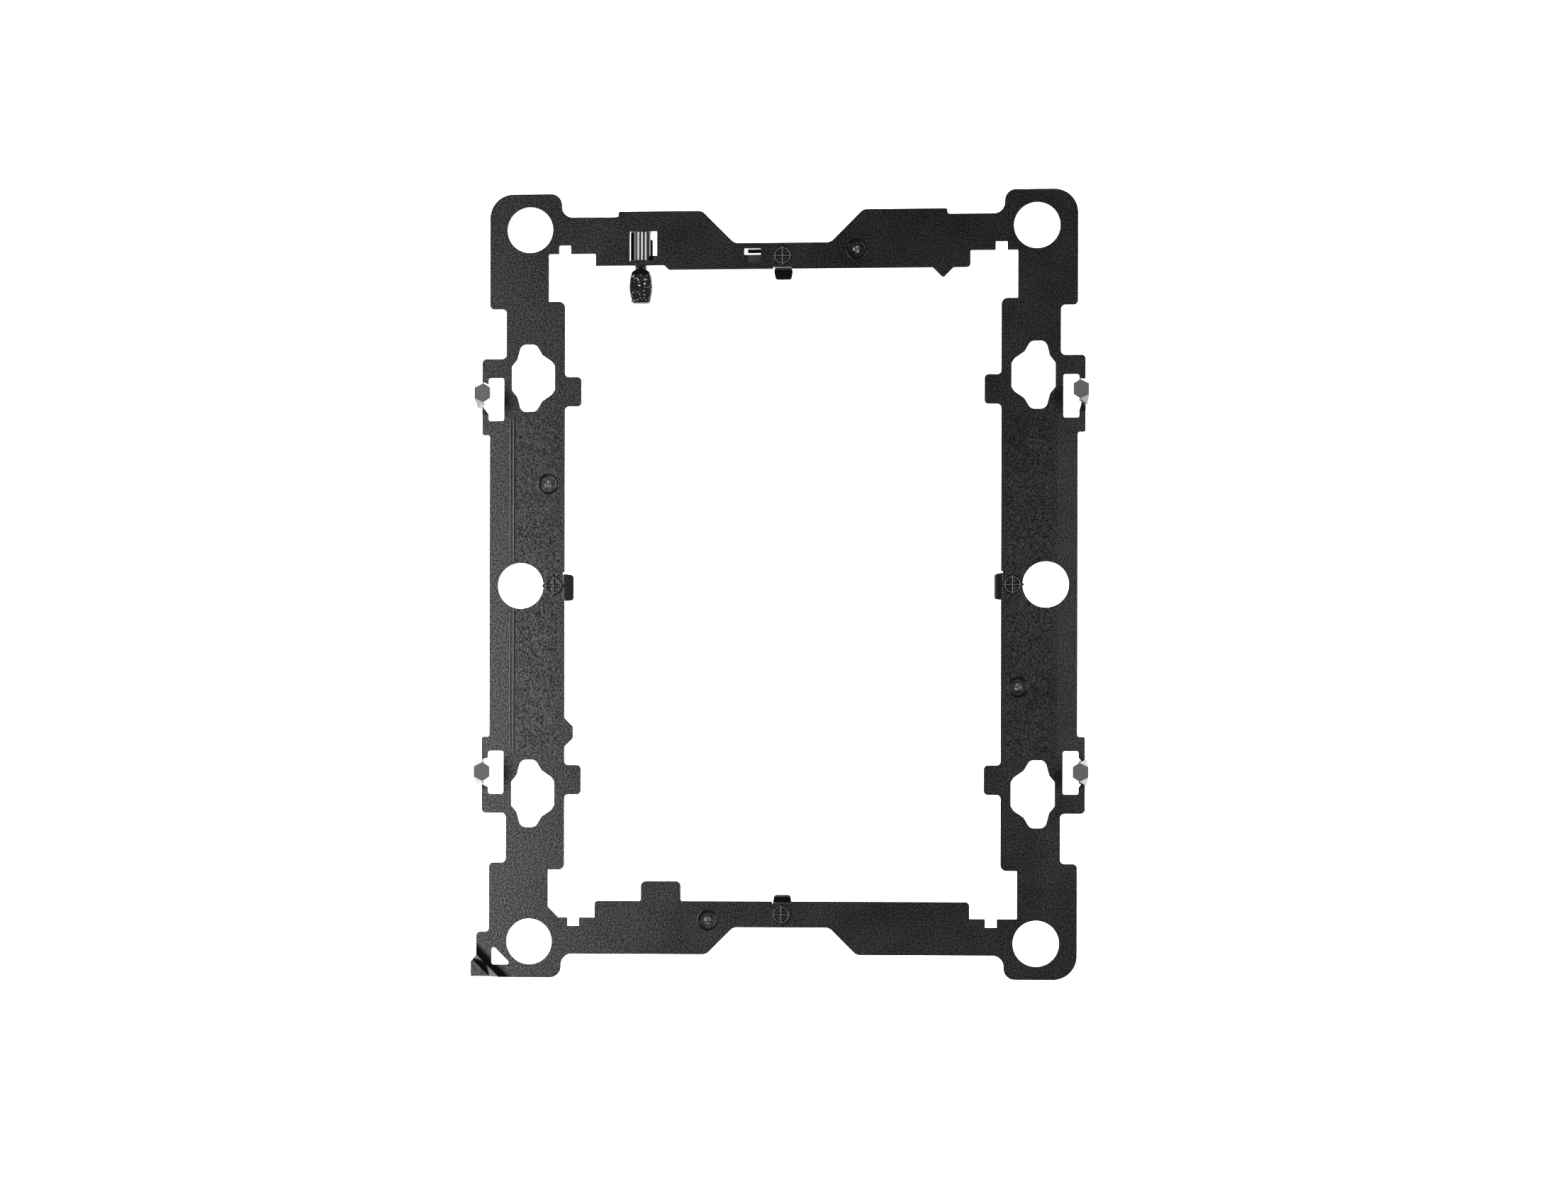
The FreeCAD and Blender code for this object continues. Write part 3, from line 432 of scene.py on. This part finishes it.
def mould_finish(setting):
    """Black carbon-filled polymer, moulded against a spark-eroded plate and polished clip inserts.

    The eye sees a satin grain on the flat top, a painted sheen that makes the outer strips of the
    long bars a little lighter, soft clouds where the melt flowed, clip tops painted mid grey as a
    reflection with a band of painted shade round their edge, a polished black patch round the ramp
    at the marked corner, and gloss on the latches and walls.
    """
    material, tree = new_material("moulded black polymer, spark-eroded")
    place = node(tree, "ShaderNodeTexCoord").outputs["Object"]
    axes = node(tree, "ShaderNodeSeparateXYZ", links={"Vector": place}).outputs
    # Distance along both axes from the outermost point of the marked corner
    inward = node(
        tree, "ShaderNodeVectorMath", {"operation": "DOT_PRODUCT", 1: (1, 1, 0)}, {0: place},
    ).outputs[1]
    ledge = edge(tree, inward, LEDGE_REACH, CORNER)
    patch = edge(tree, inward, PATCH_REACH, CORNER)
    # The grain lies between the gate floors and the top face: 1 there, 0 on clips and latches
    flat = node(
        tree, "ShaderNodeMath",
        {"operation": "COMPARE", 1: GRAIN_LEVEL * MM, 2: GRAIN_BAND * MM}, {0: axes["Z"]},
    ).outputs[0]
    grained = maths(tree, "MAXIMUM", times(tree, flat, rest_of(tree, patch)), ledge)
    polished = times(tree, patch, rest_of(tree, ledge))
    clip = edge(tree, axes["Z"], CLIP_FOOT)
    # Heights of the painted shade round each clip top's edge and of the clip tops' painted grey
    # reflection
    clip_rim_shade = edge(tree, axes["Z"], CLIP_SHADE_RIM)
    clip_top_reflection = edge(tree, axes["Z"], CLIP_REFLECTION_TOP)
    # Outer strips of the long bars, where a painted sheen lightens the colour
    painted_sheen_strip = times(
        tree,
        edge(tree, size_of(tree, axes["X"]), SHEEN_STRIP_ACROSS),
        edge(tree, size_of(tree, axes["Y"]), SHEEN_STRIP_ALONG),
    )
    pits = noise(tree, place, setting.grain, 1.0, 0.5)
    clouds = noise(tree, place, setting.cloud, 2.0, 0.5)
    tone = times(tree, step(tree, pits, 0.35, 0.65), grained)
    colour = blend(tree, tone, linear(setting.black), linear(setting.worn_black))
    # Painted sheen: the outer strips of the long bars are painted a lighter grey
    colour = blend(tree, painted_sheen_strip, colour, linear("#1e1e1f"))
    # Painted shade: a black band round each clip top's edge
    colour = blend(tree, clip_rim_shade, colour, linear("#050505"))
    # Painted reflection: the clip tops are painted mid grey for the light they mirror from above
    colour = blend(tree, clip_top_reflection, colour, linear("#5e5e5f"))
    # Light that gets lost in the pits: the shine is strong on their rims and weak in their floors
    shine = blend_value(tree, grained, 0.5, spread(tree, pits, (0.32, 0.68), (0.14, 0.92)))
    shine = blend_value(tree, polished, shine, 0.06)
    shine = blend_value(tree, clip, shine, 0.26)
    shine = blend_value(tree, clip_rim_shade, shine, 0.05)
    shine = blend_value(tree, clip_top_reflection, shine, 0.5)
    gloss = blend_value(tree, grained, 0.16, spread(tree, clouds, (0.3, 0.7), (0.27, 0.34)))
    gloss = blend_value(tree, clip_top_reflection, gloss, 0.5)
    bump = node(
        tree, "ShaderNodeBump", {"Strength": 1.0, "Distance": 0.024 * MM},
        {"Height": times(tree, pits, grained)},
    )
    surface = node(
        tree, "ShaderNodeBsdfPrincipled", {"IOR": 1.5, "Metallic": 0.0},
        {
            "Base Color": colour, "Roughness": gloss, "Specular IOR Level": shine,
            "Normal": bump.outputs[0],
        },
    )
    node(tree, "ShaderNodeOutputMaterial", links={"Surface": surface.outputs[0]})
    return material


def lever_finish(setting):
    """Black unfilled polymer off a polished mould, with a rough paddle, a dull arm and painted
    highlights on the flutes.

    The eye sees mirror gloss on the neck and the drum, painted white highlights down the drum's
    flutes, dull grey on the arm, and dull grey with painted white glints on the paddle, which
    starts 51 mm along.
    """
    material, tree = new_material("moulded black polymer, polished")
    place = node(tree, "ShaderNodeTexCoord").outputs["Object"]
    axes = node(tree, "ShaderNodeSeparateXYZ", links={"Vector": place}).outputs
    paddle = edge(tree, axes["Y"], PADDLE_END)
    arm = edge(tree, axes["X"], ARM_START)
    # Distance from the lever's own axis, which tells the flutes from the drum's round
    spoke = node(
        tree, "ShaderNodeVectorMath",
        {
            "operation": "MULTIPLY_ADD", 1: (1, 0, 1),
            2: (-LEVER_AXIS[0] * MM, 0, -LEVER_AXIS[1] * MM),
        },
        {0: place},
    ).outputs[0]
    reach = node(tree, "ShaderNodeVectorMath", {"operation": "LENGTH"}, {0: spoke}).outputs[1]
    drum = edge(tree, axes["Y"], DRUM_START)
    # Band round the flutes that is painted white as a highlight
    ring = times(tree, edge(tree, reach, FLUTE_HIGHLIGHT_ROOT), edge(tree, reach, FLUTE_HIGHLIGHT_TIP))
    flute_highlight = times(tree, times(tree, ring, drum), edge(tree, axes["X"], FLUTE_HIGHLIGHT_SIDE))
    # Noise for the paddle's relief and for its painted white glints
    relief_and_glints = noise(tree, place, 0.3 * MM, 1.0, 0.5)
    painted_glints = times(tree, step(tree, relief_and_glints, 0.65, 0.68), paddle)
    base = blend(tree, paddle, linear(setting.lever_black), linear("#1b1b1c"))
    base = blend(tree, arm, base, linear("#2a2a2b"))
    # Painted highlight: white streaks down the drum's flutes
    base = blend(tree, flute_highlight, base, linear("#f0f0f0"))
    # Painted glints: white specks on the paddle
    colour = blend(tree, painted_glints, base, linear("#f4f4f4"))
    rough = maths(tree, "MAXIMUM", paddle, arm)
    relief = times(tree, relief_and_glints, rough)
    bump = node(
        tree, "ShaderNodeBump", {"Strength": 0.8, "Distance": 0.1 * MM}, {"Height": relief},
    )
    surface = node(
        tree, "ShaderNodeBsdfPrincipled", {"IOR": 1.52, "Metallic": 0.0},
        {
            "Base Color": colour,
            "Roughness": spread(tree, rough, (0.0, 1.0), (0.08, 0.5)),
            "Specular IOR Level": spread(tree, paddle, (0.0, 1.0), (0.5, 0.12)),
            "Normal": bump.outputs[0],
        },
    )
    node(tree, "ShaderNodeOutputMaterial", links={"Surface": surface.outputs[0]})
    return material


def mark_finish():
    """The frame's polymer where the mould is engraved: a line that catches the light."""
    material, tree = new_material("moulded black polymer, engraved line")
    place = node(tree, "ShaderNodeTexCoord").outputs["Object"]
    fine = noise(tree, place, 0.5 * MM, 2.0, 0.5)
    colour = blend(tree, fine, linear("#343435"), linear("#707071"))
    bump = node(
        tree, "ShaderNodeBump", {"Strength": 0.3, "Distance": 0.03 * MM}, {"Height": fine},
    )
    surface = node(
        tree, "ShaderNodeBsdfPrincipled", {"IOR": 1.5, "Roughness": 0.3},
        {"Base Color": colour, "Normal": bump.outputs[0]},
    )
    node(tree, "ShaderNodeOutputMaterial", links={"Surface": surface.outputs[0]})
    return material


def channel_finish():
    """Polished black at the foot of the raised lines, where the spark erosion never reached."""
    material, tree = new_material("moulded black polymer, polished foot")
    place = node(tree, "ShaderNodeTexCoord").outputs["Object"]
    fine = noise(tree, place, 0.6 * MM, 2.0, 0.5)
    surface = node(
        tree, "ShaderNodeBsdfPrincipled", {"IOR": 1.5},
        {
            "Base Color": blend(tree, fine, linear("#050505"), linear("#0b0b0b")),
            "Roughness": spread(tree, fine, (0.3, 0.7), (0.1, 0.2)),
        },
    )
    node(tree, "ShaderNodeOutputMaterial", links={"Surface": surface.outputs[0]})
    return material


def stub_finish():
    """Torn polymer: the break is pale grey to near white in patches."""
    material, tree = new_material("torn polymer, pale-patched")
    place = node(tree, "ShaderNodeTexCoord").outputs["Object"]
    tear = noise(tree, place, 0.3 * MM, 3.0, 0.7)
    # The colour runs from pale grey to near white in patches of noise
    colour = blend(tree, step(tree, tear, 0.4, 0.6), linear("#7a7a7a"), linear("#fafafa"))
    bump = node(
        tree, "ShaderNodeBump", {"Strength": 0.7, "Distance": 0.08 * MM}, {"Height": tear},
    )
    surface = node(
        tree, "ShaderNodeBsdfPrincipled", {"IOR": 1.5, "Roughness": 0.35},
        {"Base Color": colour, "Normal": bump.outputs[0]},
    )
    node(tree, "ShaderNodeOutputMaterial", links={"Surface": surface.outputs[0]})
    return material


def opal_finish(setting):
    """Opal white acrylic, lit from below as on a light table, so that it shows no shadows."""
    material, tree = new_material("opal white acrylic")
    place = node(tree, "ShaderNodeTexCoord").outputs["Object"]
    tooth = noise(tree, place, 2.5 * MM, 2.0, 0.5)
    bump = node(
        tree, "ShaderNodeBump", {"Strength": 0.05, "Distance": 0.1 * MM}, {"Height": tooth},
    )
    surface = node(
        tree, "ShaderNodeBsdfPrincipled",
        {
            "Base Color": linear(setting.floor), "Roughness": 0.9, "Specular IOR Level": 0.0,
            "Emission Color": linear("#ffffff"), "Emission Strength": setting.glow,
        },
        {"Normal": bump.outputs[0]},
    )
    node(tree, "ShaderNodeOutputMaterial", links={"Surface": surface.outputs[0]})
    return material


# Operators


class CARRIER_OT_frame_finish(bpy.types.Operator):
    """Give the moulded frame its spark-eroded and polished finish"""

    bl_idname = "carrier.frame_finish"
    bl_label = "Finish the Frame"

    def execute(self, context):
        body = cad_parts["carrier_frame"]
        dress(body, mould_finish(context.scene.carrier_finish))
        return {"FINISHED"}


class CARRIER_OT_lever_finish(bpy.types.Operator):
    """Give the release lever its polished finish and its rough paddle"""

    bl_idname = "carrier.lever_finish"
    bl_label = "Finish the Lever"

    def execute(self, context):
        dress(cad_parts["release_lever"], lever_finish(context.scene.carrier_finish))
        return {"FINISHED"}


class CARRIER_OT_crosshairs(bpy.types.Operator):
    """Raise the crosshair marks over the middle of each bar"""

    bl_idname = "carrier.crosshairs"
    bl_label = "Crosshair Marks"

    def execute(self, context):
        size = context.scene.carrier_marks
        kinds = (
            ("crosshair_marks", size.line, size.height, mark_finish()),
            ("crosshair_feet", size.foot, FOOT_RISE * size.height, channel_finish()),
        )
        for name, width, height, material in kinds:
            parts = []
            for x, y in MARKS:
                place = (x * MM, y * MM, 0.0)
                parts.append((ridge_ring(size.ring, width, height), place))
                for turn in (0.0, math.pi / 2):
                    bar = ridge_bar(2 * size.arm + width - size.line, width, height, turn)
                    parts.append((bar, place))
            marks = add_mesh(name, *gather(parts))
            smooth(marks)
            dress(marks, material)
            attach(marks, "frame")
        return {"FINISHED"}


class CARRIER_OT_mould_lines(bpy.types.Operator):
    """Run the polished lines that the mould leaves round its gates and along its insert"""

    bl_idname = "carrier.mould_lines"
    bl_label = "Mould Lines"

    def execute(self, context):
        size = context.scene.carrier_marks
        width, height = size.witness, WITNESS_RISE * size.height
        parts = [
            (ridge_ring(GATE_EDGE * MM, width, height), (x * MM, y * MM, 0.0)) for x, y in GATES
        ]
        middle = (INSERT_START + INSERT_END) / 2
        for x in INSERT_EDGES:
            for y in (-middle, middle):
                line = ridge_bar((INSERT_END - INSERT_START) * MM, width, height, math.pi / 2)
                parts.append((line, (x * MM, y * MM, 0.0)))
        lines = add_mesh("mould_lines", *gather(parts))
        smooth(lines)
        dress(lines, channel_finish())
        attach(lines, "frame")
        return {"FINISHED"}


class CARRIER_OT_gate_stubs(bpy.types.Operator):
    """Leave a broken stub in each gate recess"""

    bl_idname = "carrier.gate_stubs"
    bl_label = "Gate Stubs"

    def execute(self, context):
        size = context.scene.carrier_marks
        height = -GATE_FLOOR * MM * STUB_SHARE
        parts = [
            (broken_stub(size.vestige, height, seed), (x * MM, y * MM, GATE_FLOOR * MM))
            for seed, (x, y) in enumerate(GATES, start=FIRST_SEED)
        ]
        stubs = add_mesh("gate_stubs", *gather(parts))
        smooth(stubs)
        dress(stubs, stub_finish())
        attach(stubs, "frame")
        return {"FINISHED"}


class CARRIER_OT_stage(bpy.types.Operator):
    """Set out the light table, the lamps and the camera"""

    bl_idname = "carrier.stage"
    bl_label = "Stage"

    def execute(self, context):
        scene = context.scene
        setting = scene.carrier_stage
        self.floor(setting)
        self.lamps(scene)
        self.camera(scene, setting)
        return {"FINISHED"}

    def floor(self, setting):
        """Flat sheet: a grid of 9 by 9 points, 160 m across, a little below the part."""
        u = np.linspace(-FLOOR_REACH, FLOOR_REACH, FLOOR_POINTS)
        x, y = np.meshgrid(u, u, indexing="ij")
        points = np.stack([x, y, np.full_like(x, FLOOR_LEVEL)], axis=-1).reshape(-1, 3)
        sheet = add_mesh("opal_floor", points, grid_faces(FLOOR_POINTS, FLOOR_POINTS))
        dress(sheet, opal_finish(setting))

    def lamps(self, scene):
        """Soft boxes, each turned about Y until it faces the frame.

        The left and right soft boxes hang high enough for the plate to mirror them, and the two
        side boxes stand low, where only walls and rough spots catch them.
        """
        for name, place, size, power in LAMPS:
            data = bpy.data.lights.new(name, "AREA")
            data.shape = "RECTANGLE"
            data.size, data.size_y = size
            data.energy = power
            lamp = bpy.data.objects.new(name, data)
            lamp.location = place
            lamp.rotation_euler = (0.0, math.atan2(place[0], place[2]), 0.0)
            lamp.visible_camera = False
            scene.collection.objects.link(lamp)
        world = bpy.data.worlds.new("studio")
        world.use_nodes = True
        sky = world.node_tree.nodes["Background"].inputs
        sky["Color"].default_value = linear("#ffffff")
        sky["Strength"].default_value = WORLD_STRENGTH
        scene.world = world
        scene.view_settings.view_transform = "Standard"

    def camera(self, scene, setting):
        """Straight above CAMERA_FOOT, turned a little and shifted onto the middle."""
        data = bpy.data.cameras.new("camera")
        data.lens = setting.lens
        data.sensor_width = SENSOR_WIDTH
        data.shift_x, data.shift_y = CAMERA_SHIFT
        data.clip_start, data.clip_end = CAMERA_CLIP
        camera = bpy.data.objects.new("camera", data)
        camera.location = (CAMERA_FOOT[0] * MM, CAMERA_FOOT[1] * MM, setting.height)
        camera.rotation_euler = (0.0, setting.turn, setting.roll)
        scene.collection.objects.link(camera)
        scene.camera = camera


class CARRIER_PT_sidebar(bpy.types.Panel):
    """Lists the steps that dress the frame"""

    bl_label = "Carrier Frame"
    bl_space_type = "VIEW_3D"
    bl_region_type = "UI"
    bl_category = "Carrier"

    def draw(self, context):
        scene = context.scene
        for group in (scene.carrier_finish, scene.carrier_marks, scene.carrier_stage):
            box = self.layout.box()
            for key in group.__annotations__:
                box.prop(group, key)
        for kind in STEPS:
            self.layout.operator(kind.bl_idname)


STEPS = (
    CARRIER_OT_frame_finish,
    CARRIER_OT_lever_finish,
    CARRIER_OT_crosshairs,
    CARRIER_OT_mould_lines,
    CARRIER_OT_gate_stubs,
    CARRIER_OT_stage,
)
GROUPS = (CarrierFinish, CarrierMarks, CarrierStage)


def register():
    for cls in (*GROUPS, *STEPS, CARRIER_PT_sidebar):
        bpy.utils.register_class(cls)
    bpy.types.Scene.carrier_finish = bpy.props.PointerProperty(type=CarrierFinish)
    bpy.types.Scene.carrier_marks = bpy.props.PointerProperty(type=CarrierMarks)
    bpy.types.Scene.carrier_stage = bpy.props.PointerProperty(type=CarrierStage)


def unregister():
    del bpy.types.Scene.carrier_stage
    del bpy.types.Scene.carrier_marks
    del bpy.types.Scene.carrier_finish
    for cls in (CARRIER_PT_sidebar, *reversed(STEPS), *reversed(GROUPS)):
        bpy.utils.unregister_class(cls)


def main():
    register()
    bpy.ops.carrier.frame_finish()
    bpy.ops.carrier.lever_finish()
    bpy.ops.carrier.crosshairs()
    bpy.ops.carrier.mould_lines()
    bpy.ops.carrier.gate_stubs()
    bpy.ops.carrier.stage()


if __name__ == "__main__":
    main()
